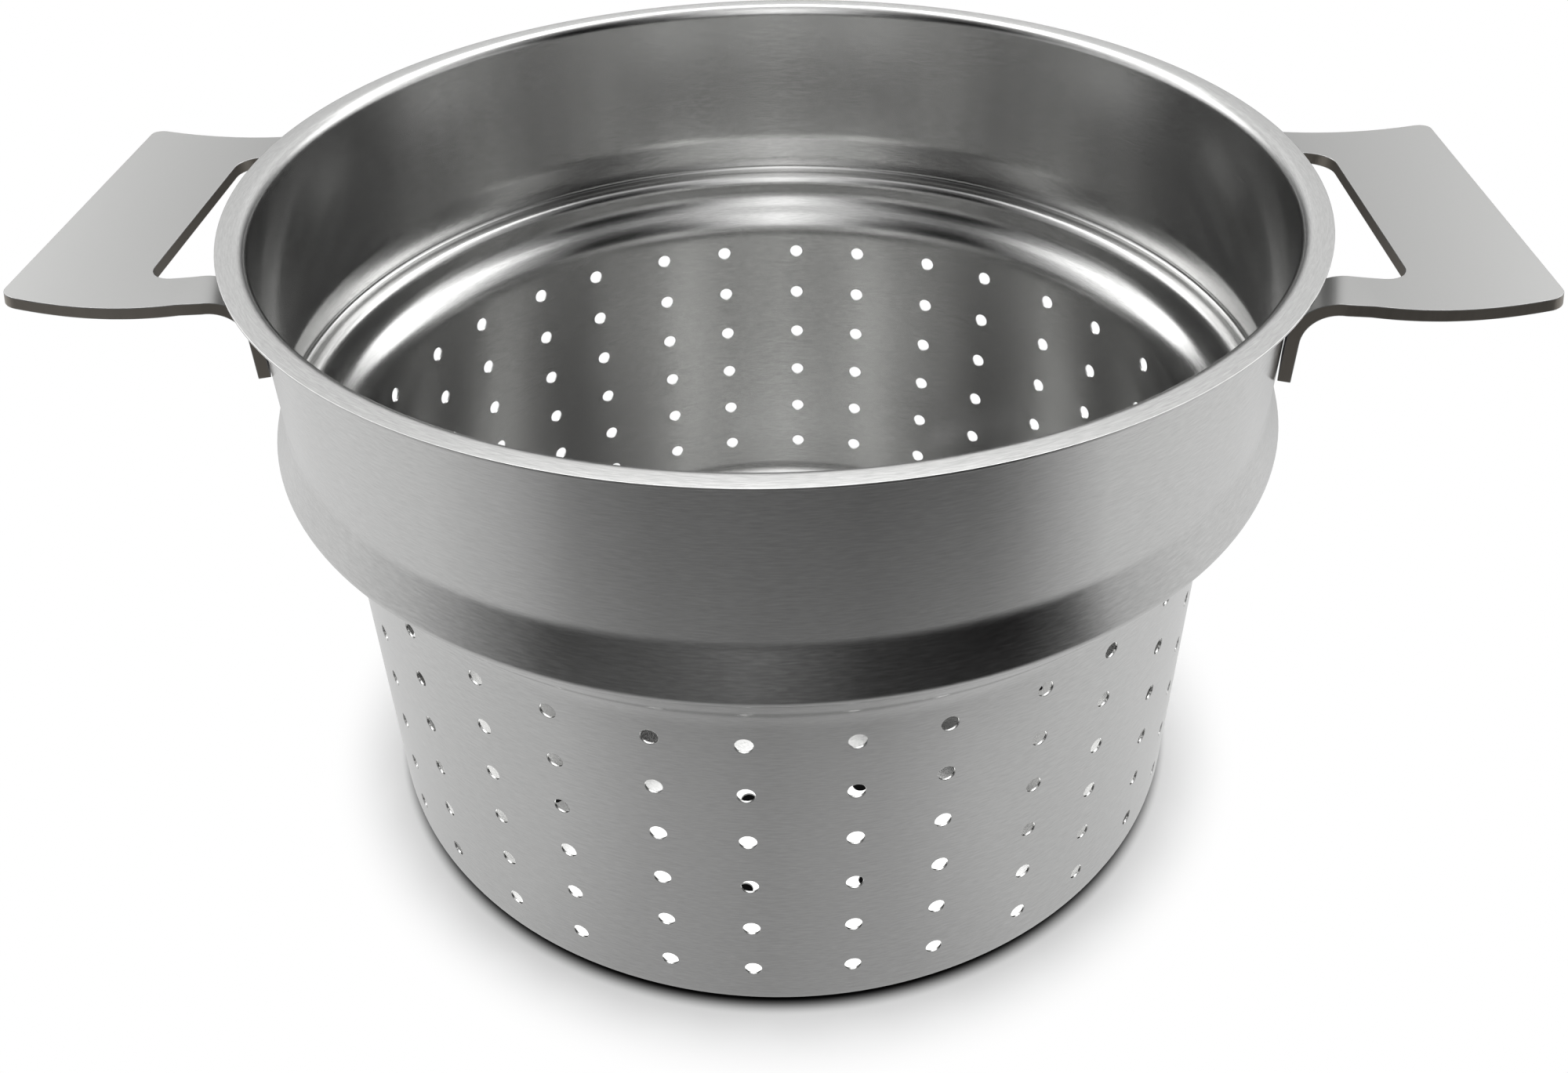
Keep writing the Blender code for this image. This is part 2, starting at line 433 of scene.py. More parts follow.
def arc_points(centre: Point, radius: float, start: float, end: float, steps: int) -> list[Point]:
    """List the points of a plane arc.

    Args:
        centre: The arc's centre.
        radius: Its radius.
        start: Its first angle in radians.
        end: Its last angle in radians.
        steps: The number of chords.

    Returns:
        One more point than there are chords.
    """
    points = []
    for step in range(steps + 1):
        angle = start + (end - start) * step / steps
        points.append((centre[0] + radius * math.cos(angle), centre[1] + radius * math.sin(angle)))
    return points


def rounded(before: Point, corner: Point, after: Point, radius: float, steps: int) -> list[Point]:
    """Round the corner of a line.

    Args:
        before: The point before the corner.
        corner: The corner.
        after: The point after it.
        radius: The round's radius.
        steps: The number of chords.

    Returns:
        The points of the round, from the side of `before` to the side of `after`.
    """
    tip = Vector(corner)
    back = (Vector(before) - tip).normalized()
    ahead = (Vector(after) - tip).normalized()
    half_angle = back.angle(ahead) / 2
    centre = tip + (back + ahead).normalized() * radius / math.sin(half_angle)
    first = tip + back * radius / math.tan(half_angle) - centre
    last = tip + ahead * radius / math.tan(half_angle) - centre
    start = math.atan2(first.y, first.x)
    sweep = math.remainder(math.atan2(last.y, last.x) - start, 2 * math.pi)
    return arc_points((centre.x, centre.y), radius, start, start + sweep, steps)


class FirstRing(Enum):
    """Whether the first ring of a turned surface is closed with a face."""

    CLOSED = "NGON"
    OPEN = "NOTHING"


@dataclass
class PerforatedShell:
    """The drawn sheet: rim, collar, shoulder, perforated basket and base in one piece."""

    name: str = "perforated_shell"
    sheet: float = 0.0006
    height: float = 0.1650
    rim_radius: float = 0.1250
    rim_root_radius: float = 0.0022
    collar_radius: float = 0.1191
    shoulder_top_drop: float = 0.0407
    crease_radius: float = 0.0090
    crease_steps: int = 4
    ledge_drop: float = 0.0536
    ledge_width: float = 0.0064
    shoulder_edge_radius: float = 0.0018
    tight_steps: int = 8
    step_top_radius: float = 0.0026
    step_height: float = 0.0073
    step_bottom_radius: float = 0.0068
    step_width: float = 0.0068
    slope_height: float = 0.0054
    basket_top_radius: float = 0.0080
    inner_steps: int = 5
    basket_radius: float = 0.1102
    base_corner_radius: float = 0.0060
    base_corner_steps: int = 7
    hole_radius: float = 0.0020
    pairs: int = 16
    pair_spread: float = math.radians(10.34)
    pair_start: float = math.radians(16.0)
    rows: int = 6
    first_row_drop: float = 0.0760
    row_pitch: float = 0.0148
    cell_above_hole: float = 0.00585
    steps_per_cell: int = 6
    cell_cuts: int = 2
    base_rings: int = 3
    base_first_ring: float = 0.0152
    base_ring_pitch: float = 0.0304
    first_ring_holes: int = 3
    holes_more_per_ring: int = 6
    base_start: float = math.radians(-103.5)
    ring_twist: float = math.radians(4.2)
    punch_pass: float = 0.0025
    punch_sides: int = 24
    edge_round: float = 0.00015
    edge_facets: int = 2
    finish: SpunSteel = field(default_factory=SpunSteel)

    @property
    def cells(self) -> int:
        """Return the number of hole columns round the wall."""
        return 2 * self.pairs

    @property
    def steps(self) -> int:
        """Return the number of facets round the shell."""
        return self.cells * self.steps_per_cell

    @property
    def patch_top(self) -> float:
        """Return the height at which the perforated part of the wall ends."""
        return self.height - self.first_row_drop + self.cell_above_hole

    @property
    def patch_bottom(self) -> float:
        """Return the height at which the perforated part of the wall starts."""
        return self.patch_top - self.rows * self.row_pitch

    def lower_line(self) -> list[Point]:
        """Work out the outer line from the base's edge to the perforated wall.

        Returns:
            Points of radius and height, from the bottom up.
        """
        corner = (self.basket_radius, 0)
        wall = (self.basket_radius, self.height)
        line = rounded((0, 0), corner, wall, self.base_corner_radius, self.base_corner_steps)
        return line + [(self.basket_radius, self.patch_bottom)]

    def upper_line(self) -> list[Point]:
        """Work out the outer line from the perforated wall to the rim's edge.

        Returns:
            Points of radius and height, from the bottom up.
        """
        rim_underside = self.height - self.sheet
        step = self.basket_radius + self.step_width
        ledge_height = self.height - self.ledge_drop
        slope_height = ledge_height - self.step_height
        wall = (self.basket_radius, self.patch_top)
        basket_top = (self.basket_radius, slope_height - self.slope_height)
        step_bottom = (step, slope_height)
        step_top = (step, ledge_height)
        shoulder_edge = (step + self.ledge_width, ledge_height)
        shoulder_top = (self.collar_radius, self.height - self.shoulder_top_drop)
        rim_root = (self.collar_radius, rim_underside)
        rim_edge = (self.rim_radius, rim_underside)
        line = rounded(wall, basket_top, step_bottom, self.basket_top_radius, self.inner_steps)
        line += rounded(basket_top, step_bottom, step_top, self.step_bottom_radius, self.inner_steps)
        line += rounded(step_bottom, step_top, shoulder_edge, self.step_top_radius, self.inner_steps)
        line += rounded(step_top, shoulder_edge, shoulder_top, self.shoulder_edge_radius, self.tight_steps)
        line += rounded(shoulder_edge, shoulder_top, rim_root, self.crease_radius, self.crease_steps)
        line += rounded(shoulder_top, rim_root, rim_edge, self.rim_root_radius, self.tight_steps)
        return line + [rim_edge]

    def turned(self, line: list[Point], first_ring: FirstRing) -> bpy.types.Object:
        """Turn a line about Z, ring by ring.

        Args:
            line: Points of radius and height, from the bottom up.
            first_ring: Whether the first ring is closed.

        Returns:
            The open surface.
        """
        deselect_all()
        bpy.ops.mesh.primitive_circle_add(
            vertices=self.steps,
            radius=line[0][0],
            fill_type=first_ring.value,
            location=(0, 0, line[0][1]),
            rotation=(0, 0, self.pair_start),
        )
        surface = bpy.context.object
        bpy.ops.object.transform_apply(location=True, rotation=True)
        bpy.ops.object.mode_set(mode="EDIT")
        bpy.ops.mesh.select_mode(type="EDGE")
        bpy.ops.mesh.select_all(action="SELECT")
        for (radius, height), (next_radius, next_height) in zip(line[:-1], line[1:]):
            bpy.ops.mesh.extrude_edges_move(
                TRANSFORM_OT_translate={"value": (0, 0, next_height - height)}
            )
            scale = next_radius / radius
            bpy.ops.transform.resize(value=(scale, scale, 1), center_override=(0, 0, next_height))
        bpy.ops.object.mode_set(mode="OBJECT")
        return surface

    def hole_cell(self) -> bpy.types.Object:
        """Make the flat sheet round one hole, with the hole nearer the pair's middle.

        Returns:
            The sheet in the XZ plane, with X running round the wall from the pair's middle.
        """
        deselect_all()
        width = 2 * math.pi * self.basket_radius / self.cells
        across = self.basket_radius * self.pair_spread / 2
        middle = self.cell_above_hole - self.row_pitch / 2
        bpy.ops.mesh.primitive_plane_add(
            size=1, location=(width / 2, 0, middle), rotation=(math.pi / 2, 0, 0)
        )
        cell = bpy.context.object
        cell.scale = (width, self.row_pitch, 1)
        bpy.ops.object.transform_apply(location=True, rotation=True, scale=True)
        bpy.ops.object.mode_set(mode="EDIT")
        bpy.ops.mesh.select_all(action="SELECT")
        bpy.ops.mesh.delete(type="ONLY_FACE")
        bpy.ops.mesh.select_all(action="SELECT")
        bpy.ops.mesh.subdivide(number_cuts=self.steps_per_cell - 1)
        bpy.ops.mesh.primitive_circle_add(
            vertices=4 * self.steps_per_cell,
            radius=self.hole_radius,
            location=(across, 0, 0),
            rotation=(math.pi / 2, 0, 0),
        )
        bpy.ops.mesh.select_all(action="SELECT")
        bpy.ops.mesh.bridge_edge_loops(number_cuts=self.cell_cuts, interpolation="LINEAR", smoothness=0)
        bpy.ops.object.mode_set(mode="OBJECT")
        return cell

    def flat_wall(self) -> bpy.types.Object:
        """Repeat the cell and its mirror image over the wall's height and round.

        Returns:
            The flat strip in the XZ plane, with its middle at X of 0.
        """
        cell = self.hole_cell()
        make_active(cell)
        bpy.ops.object.duplicate()
        other = bpy.context.object
        other.scale = (-1, 1, 1)
        bpy.ops.object.transform_apply(scale=True)
        wall = join([cell, other], "hole_pair")
        weld(wall)
        width = 2 * math.pi * self.basket_radius / self.pairs
        for name, count, offset in (
            ("rows", self.rows, (0, 0, self.row_pitch)),
            ("pairs", self.pairs, (width, 0, 0)),
        ):
            copies = wall.modifiers.new(name, "ARRAY")
            copies.count = count
            copies.use_relative_offset = False
            copies.use_constant_offset = True
            copies.constant_offset_displace = offset
        apply_modifiers(wall)
        bpy.ops.object.mode_set(mode="EDIT")
        bpy.ops.mesh.select_all(action="SELECT")
        last_row = self.patch_top - self.cell_above_hole - (self.rows - 1) * self.row_pitch
        bpy.ops.transform.translate(value=(-(self.pairs - 1) / 2 * width, 0, last_row))
        bpy.ops.mesh.remove_doubles(threshold=MERGE_DISTANCE)
        bpy.ops.object.mode_set(mode="OBJECT")
        return wall

    def perforated_wall(self) -> bpy.types.Object:
        """Bend the flat wall into a cylinder and turn its first pair to its place.

        Returns:
            The wall, round Z.
        """
        wall = self.flat_wall()
        bend = wall.modifiers.new("bend", "SIMPLE_DEFORM")
        bend.deform_method = "BEND"
        bend.deform_axis = "Z"
        bend.angle = 2 * math.pi
        apply_modifiers(wall)
        wall.location = (0, -self.basket_radius, 0)
        bpy.ops.object.transform_apply(location=True)
        # The strip's middle now lies on -Y.
        first_pair = -math.pi / 2 - math.pi * (self.pairs - 1) / self.pairs
        wall.rotation_euler = (0, 0, self.pair_start - first_pair)
        bpy.ops.object.transform_apply(rotation=True)
        return wall

    def base_punches(self) -> bpy.types.Object:
        """Make one object of all the prisms that pierce the base.

        Returns:
            The prisms, which pass the base above and below.
        """
        deselect_all()
        punches = []
        for ring in range(self.base_rings):
            distance = self.base_first_ring + self.base_ring_pitch * ring
            count = self.first_ring_holes + self.holes_more_per_ring * ring
            for index in range(count):
                angle = self.base_start + self.ring_twist * ring + 2 * math.pi * index / count
                bpy.ops.mesh.primitive_cylinder_add(
                    vertices=self.punch_sides,
                    radius=self.hole_radius,
                    depth=self.sheet + 2 * self.punch_pass,
                    location=Matrix.Rotation(angle, 4, "Z") @ Vector((distance, 0, self.sheet / 2)),
                )
                punches.append(bpy.context.object)
        return join(punches, "base_punches")

    def build(self) -> bpy.types.Object:
        """Build the shell, dress it and put it in the CAD node's place.

        Returns:
            The finished piece.
        """
        base = self.turned(self.lower_line(), FirstRing.CLOSED)
        top = self.turned(self.upper_line(), FirstRing.OPEN)
        shell = join([base, self.perforated_wall(), top], self.name)
        weld(shell, farthest_looks_in=True)
        bpy.ops.object.shade_smooth_by_angle(angle=SMOOTH_ANGLE)
        wall = shell.modifiers.new("sheet", "SOLIDIFY")
        wall.thickness = self.sheet
        wall.offset = -1
        wall.use_even_offset = True
        apply_modifiers(shell)
        punches = self.base_punches()
        pierce = shell.modifiers.new("base holes", "BOOLEAN")
        pierce.operation = "DIFFERENCE"
        pierce.solver = "EXACT"
        pierce.object = punches
        apply_modifiers(shell)
        bpy.data.objects.remove(punches)
        ease_edges(shell, self.edge_round, self.edge_facets)
        apply_modifiers(shell)
        shell.data.materials.clear()
        shell.data.materials.append(self.finish.build())
        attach(shell, ROOT_BODY)
        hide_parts("insert_shell")
        return shell


class Hand(Enum):
    """The side of the shell that a handle is on, as its turn about Z."""

    RIGHT = 0.0
    LEFT = math.pi


@dataclass
class PlateHandle:
    """One plate handle: a slotted blank, pressed to a dish, with both arms folded into tabs."""

    name: str
    node: str
    hand: Hand
    collar_radius: float
    shell_height: float
    plate: float = 0.0028
    reach: float = 0.1663
    grip_half_width: float = 0.0459
    grip_depth: float = 0.0273
    grip_corner_radius: float = 0.0035
    grip_corner_steps: int = 8
    side_swell: float = 0.0008
    side_steps: int = 8
    slot_half_width: float = 0.0332
    slot_corner_radius: float = 0.0060
    slot_corner_steps: int = 10
    arm_width: float = 0.0133
    arm_angle: float = math.radians(17.65)
    fold_radius: float = 0.0080
    fold_steps: int = 16
    tab_end_drop: float = 0.0301
    dish_drop: float = 0.0102
    dish_place: float = 0.1400
    dish_radius: float = 0.1250
    dish_steps: int = 24
    seat_gap: float = 0.0003
    edge_round: float = 0.00035
    edge_facets: int = 3
    face: SatinPlate = field(default_factory=SatinPlate)
    edge: GroundEdge = field(default_factory=GroundEdge)

    @property
    def fold_start(self) -> float:
        """Return the distance from the axis, along the arm, at which the fold starts."""
        return self.collar_radius + self.seat_gap + self.plate + self.fold_radius

    @property
    def bend(self) -> float:
        """Return the fold's radius at the middle of the plate."""
        return self.fold_radius + self.plate / 2

    @property
    def level_end(self) -> float:
        """Return the distance along X inside which the plate is level."""
        return self.fold_start * math.cos(self.arm_angle) + self.arm_width / 2 * math.sin(self.arm_angle)

    def along_arm(self, distance: float, aside: float) -> Point:
        """Return the plan point at a distance from the axis along the arm's middle and to its side."""
        cosine, sine = math.cos(self.arm_angle), math.sin(self.arm_angle)
        return distance * cosine - aside * sine, distance * sine + aside * cosine

    def dish_height(self, across: float) -> float:
        """Work out the height of the middle of the plate's thickness.

        Args:
            across: The distance along X.

        Returns:
            The height above the base.
        """
        offset = max(across, self.level_end) - self.dish_place
        rise = self.dish_radius - math.sqrt(self.dish_radius**2 - offset**2)
        return self.shell_height - self.dish_drop - self.plate / 2 + rise

    def half_outline(self) -> list[Point]:
        """Work out half the flat blank, from the grip's outer edge round the arm to the slot.

        Returns:
            The corners of its outline in the XY plane.
        """
        level = self.dish_height(self.level_end)
        straight = level - self.bend - (self.shell_height - self.tab_end_drop)
        arm_end = self.fold_start - self.bend * math.pi / 2 - straight
        outer = Vector((self.reach - self.grip_corner_radius, self.grip_half_width))
        root = Vector(self.along_arm(self.fold_start, self.arm_width / 2))
        side = []
        for step in range(1, self.side_steps + 1):
            share = step / self.side_steps
            point = outer.lerp(root, share)
            side.append((point.x, point.y + self.side_swell * math.sin(math.pi * share)))
        slot_edge = self.reach - self.grip_depth
        grip_centre = (outer.x, self.grip_half_width - self.grip_corner_radius)
        slot_centre = (
            slot_edge - self.slot_corner_radius,
            self.slot_half_width - self.slot_corner_radius,
        )
        return (
            [(self.reach, 0.0)]
            + arc_points(grip_centre, self.grip_corner_radius, 0, math.pi / 2, self.grip_corner_steps)
            + side
            + [
                self.along_arm(arm_end, self.arm_width / 2),
                self.along_arm(arm_end, -self.arm_width / 2),
                self.along_arm(self.fold_start, -self.arm_width / 2),
            ]
            + arc_points(slot_centre, self.slot_corner_radius, math.pi / 2, 0, self.slot_corner_steps)
            + [(slot_edge, 0.0)]
        )

    def pressed(self, point: Vector) -> Vector:
        """Move a point of the flat half blank to its place on the dished and folded handle.

        Args:
            point: A point with Y of 0 or more.

        Returns:
            Its place on the finished handle.
        """
        inwards = Vector(self.along_arm(1.0, 0.0))
        flat = point.xy
        past = self.fold_start - flat.dot(inwards)
        if past <= ROUNDING_ERROR:
            return Vector((flat.x, flat.y, self.dish_height(flat.x)))
        turned = min(past / self.bend, math.pi / 2)
        down = self.bend * (1 - math.cos(turned)) + max(past - self.bend * math.pi / 2, 0)
        moved = flat + inwards * (past - self.bend * math.sin(turned))
        return Vector((moved.x, moved.y, self.dish_height(self.level_end) - down))

    def drawn_blank(self) -> bpy.types.Object:
        """Draw half the blank's outline point by point, and fill it with one face.

        Returns:
            The flat half blank, in edit mode.
        """
        outline = self.half_outline()
        deselect_all()
        bpy.ops.mesh.primitive_plane_add(size=self.plate, location=(outline[0][0], outline[0][1], 0))
        half = bpy.context.object
        bpy.ops.object.transform_apply(location=True)
        bpy.ops.object.mode_set(mode="EDIT")
        bpy.ops.mesh.select_mode(type="VERT")
        bpy.ops.mesh.select_all(action="SELECT")
        bpy.ops.mesh.merge(type="CENTER")
        for (across, along), (next_across, next_along) in zip(outline[:-1], outline[1:]):
            bpy.ops.mesh.extrude_region_move(
                TRANSFORM_OT_translate={"value": (next_across - across, next_along - along, 0)}
            )
        bpy.ops.mesh.select_all(action="SELECT")
        bpy.ops.mesh.edge_face_add()
        return half

    def score(self) -> None:
        """Cut lines across the half blank in edit mode, where it is dished and folded."""
        for step in range(1, self.dish_steps):
            across = self.level_end + (self.reach - self.level_end) * step / self.dish_steps
            bpy.ops.mesh.select_all(action="SELECT")
            bpy.ops.mesh.bisect(plane_co=(across, 0, 0), plane_no=(1, 0, 0))
        normal = Vector((*self.along_arm(1.0, 0.0), 0))
        for step in range(self.fold_steps + 1):
            distance = self.fold_start - self.bend * math.pi / 2 * step / self.fold_steps
            bpy.ops.mesh.select_all(action="SELECT")
            bpy.ops.mesh.bisect(plane_co=normal * distance, plane_no=normal)

    def pressed_sheet(self) -> bpy.types.Object:
        """Dish and fold the scored half blank, and mirror it.

        Returns:
            The whole handle with no thickness yet, on its side of the shell.
        """
        sheet = self.drawn_blank()
        self.score()
        bpy.ops.object.mode_set(mode="OBJECT")
        for vertex in sheet.data.vertices:
            vertex.co = self.pressed(vertex.co)
        mirror = sheet.modifiers.new("other half", "MIRROR")
        mirror.use_axis = (False, True, False)
        mirror.use_clip = True
        apply_modifiers(sheet)
        bpy.ops.object.mode_set(mode="EDIT")
        bpy.ops.mesh.select_all(action="SELECT")
        bpy.ops.mesh.normals_make_consistent(inside=False)
        bpy.ops.object.mode_set(mode="OBJECT")
        sheet.rotation_euler = (0, 0, self.hand.value)
        bpy.ops.object.transform_apply(rotation=True)
        return sheet

    def build(self) -> bpy.types.Object:
        """Build the handle, dress it and put it in the CAD node's place.

        Returns:
            The finished piece.
        """
        handle = self.pressed_sheet()
        handle.name = self.name
        handle.data.name = self.name
        bpy.ops.object.shade_smooth_by_angle(angle=SMOOTH_ANGLE)
        handle.data.materials.append(self.face.build())
        handle.data.materials.append(self.edge.build())
        solid = handle.modifiers.new("plate", "SOLIDIFY")
        solid.thickness = self.plate
        solid.offset = 0
        solid.use_even_offset = True
        solid.material_offset_rim = 1
        eased = ease_edges(handle, self.edge_round, self.edge_facets)
        eased.material = 0
        apply_modifiers(handle)
        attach(handle, ROOT_BODY)
        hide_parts(self.node)
        return handle


class Fade(Enum):
    """How one set of tones passes into the next."""

    EVEN = "LINEAR"
    SOFT = "SMOOTHSTEP"


@dataclass(frozen=True)
class MirroredRoom:
    """What the metal mirrors: a white table, a dark room with a window in front, and tall lamps behind.

    The tones run by azimuth in degrees, from 0 in front through 90 on the right to 180 behind. A band of
    the walls starts and is full at the Z of a unit direction, and a fade of the floor runs between two
    distances from the middle. Only glossy rays see this room. The camera sees a white one.
    """

    table_tones: Tones = (
        (0, 0.37), (20, 0.45), (38, 0.62), (55, 0.68), (75, 0.75), (120, 0.80), (180, 0.62),
    )
    edge_tones: Tones = (
        (-165, 0.08), (-135, 0.50), (-110, 0.80), (-85, 0.82), (-62, 0.76), (-45, 0.52),
        (-32, 0.20), (-18, 0.11), (0, 0.09), (18, 0.05), (38, 0.06), (45, 0.18),
        (54, 0.48), (63, 0.74), (85, 0.82), (110, 0.80), (135, 0.50), (165, 0.08),
    )
    side_tones: Tones = (
        (-165, 0.08), (-135, 0.50), (-110, 0.80), (-85, 0.76), (-70, 0.58), (-52, 0.22),
        (-39, 0.06), (-22, 0.09), (-3, 0.14), (18, 0.03), (47, 0.00), (57, 0.06),
        (66, 0.52), (85, 0.78), (110, 0.80), (135, 0.50), (165, 0.08),
    )
    middle_tones: Tones = (
        (0, 1.5), (14, 0.8), (28, 0.15), (45, 0.0), (60, 0.0), (90, 0.65),
        (112, 1.5), (128, 2.8), (140, 1.6), (152, 0.81), (180, 1.0),
    )
    high_tones: Tones = ((0, 1.6), (45, 0.15), (90, 0.05), (135, 4.4), (180, 4.5))
    ceiling_tones: Tones = ((0, 0.75), (180, 0.95))
    middle_start: float = 0.12
    middle_full: float = 0.40
    high_start: float = 0.64
    high_full: float = 0.86
    ceiling_start: float = 0.90
    ceiling_full: float = 0.97
    table_fade_start: float = 0.165
    table_fade_end: float = 0.350
    edge_fade_start: float = 0.345
    edge_fade_end: float = 0.430

    def tone_by_azimuth(
        self, tree: bpy.types.NodeTree, direction: bpy.types.NodeSocket, tones: Tones
    ) -> bpy.types.NodeSocket:
        """Add the nodes that turn a direction's azimuth into a tone.

        Args:
            tree: The tree of the floor or the world.
            direction: A vector from the middle of the set.
            tones: Pairs of an azimuth in degrees and its tone, in order. Both sides are alike where
                the first azimuth is 0.

        Returns:
            The tone, as a grey.
        """
        if tones[0][0] == 0:
            tones = tuple((-degrees, tone) for degrees, tone in reversed(tones[1:])) + tones
        split = add_node(tree, "ShaderNodeSeparateXYZ", links={"Vector": direction})
        ahead = add_node(
            tree, "ShaderNodeMath", {"operation": "MULTIPLY"}, {1: -1.0}, {0: split.outputs["Y"]}
        )
        azimuth = add_node(
            tree,
            "ShaderNodeMath",
            {"operation": "ARCTAN2"},
            links={0: split.outputs["X"], 1: ahead.outputs["Value"]},
        )
        share = add_node(
            tree,
            "ShaderNodeMapRange",
            values={"From Min": -math.pi, "From Max": math.pi},
            links={"Value": azimuth.outputs["Value"]},
        )
        ramp = add_node(tree, "ShaderNodeValToRGB", links={"Fac": share.outputs["Result"]})
        stops = ramp.color_ramp.elements
        while len(stops) < len(tones):
            stops.new(position=0.5)
        for stop, (degrees, tone) in zip(stops, tones):
            stop.position = (degrees + 180) / 360
            stop.color = (tone, tone, tone, 1)
        return ramp.outputs["Color"]

    def layered_tone(
        self,
        tree: bpy.types.NodeTree,
        direction: bpy.types.NodeSocket,
        measure: bpy.types.NodeSocket,
        first: Tones,
        bands: tuple[Band, ...],
        fade: Fade,
    ) -> bpy.types.NodeSocket:
        """Add the nodes that pass from one set of tones to the next as a measure grows.

        Args:
            tree: The tree of the floor or the world.
            direction: A vector from the middle of the set.
            measure: The distance or height that says how far the passing has come.
            first: The tones below every band.
            bands: For each next set, the measures at which it starts and is full, and its tones.
            fade: How the passing runs.

        Returns:
            The tone, as a grey.
        """
        tone = self.tone_by_azimuth(tree, direction, first)
        for start, full, tones in bands:
            share = add_node(
                tree,
                "ShaderNodeMapRange",
                {"interpolation_type": fade.value},
                {"From Min": start, "From Max": full},
                {"Value": measure},
            )
            mixed = add_node(
                tree,
                "ShaderNodeMix",
                {"data_type": "RGBA"},
                links={
                    "Factor": share.outputs["Result"],
                    "A": tone,
                    "B": self.tone_by_azimuth(tree, direction, tones),
                },
            )
            tone = mixed.outputs["Result"]
        return tone

    def floor_tone(self, tree: bpy.types.NodeTree) -> bpy.types.NodeSocket:
        """Add the nodes of the floor's tone: the table near the object, then its edge, then the sides.

        Args:
            tree: The floor's tree.

        Returns:
            The tone, as a grey.
        """
        place = add_node(tree, "ShaderNodeTexCoord").outputs["Object"]
        distance = add_node(tree, "ShaderNodeVectorMath", {"operation": "LENGTH"}, links={0: place})
        bands = (
            (self.table_fade_start, self.table_fade_end, self.edge_tones),
            (self.edge_fade_start, self.edge_fade_end, self.side_tones),
        )
        measure = distance.outputs["Value"]
        return self.layered_tone(tree, place, measure, self.table_tones, bands, Fade.SOFT)

    def wall_tone(self, tree: bpy.types.NodeTree) -> bpy.types.NodeSocket:
        """Add the nodes of the walls' tone: the sides low down, the middle, the high part, the ceiling.

        Args:
            tree: The world's tree.

        Returns:
            The tone, as a grey.
        """
        direction = add_node(tree, "ShaderNodeTexCoord").outputs["Generated"]
        split = add_node(tree, "ShaderNodeSeparateXYZ", links={"Vector": direction})
        bands = (
            (self.middle_start, self.middle_full, self.middle_tones),
            (self.high_start, self.high_full, self.high_tones),
            (self.ceiling_start, self.ceiling_full, self.ceiling_tones),
        )
        return self.layered_tone(tree, direction, split.outputs["Z"], self.side_tones, bands, Fade.EVEN)


@dataclass(frozen=True)
class SoftLamp:
    """A square soft lamp that looks at the object and leaves no spot on the metal."""

    name: str
    place: Place
    side: float
    watts: float
    aim: Place = (0, 0, 0.1)

    def build(self) -> None:
        """Hang the lamp."""
        bpy.ops.object.light_add(type="AREA", location=self.place)
        lamp = bpy.context.object
        lamp.name = self.name
        lamp.data.shape = "SQUARE"
        lamp.data.size = self.side
        lamp.data.energy = self.watts
        lamp.visible_glossy = False
        look = Vector(self.aim) - Vector(self.place)
        lamp.rotation_euler = look.to_track_quat("-Z", "Y").to_euler()


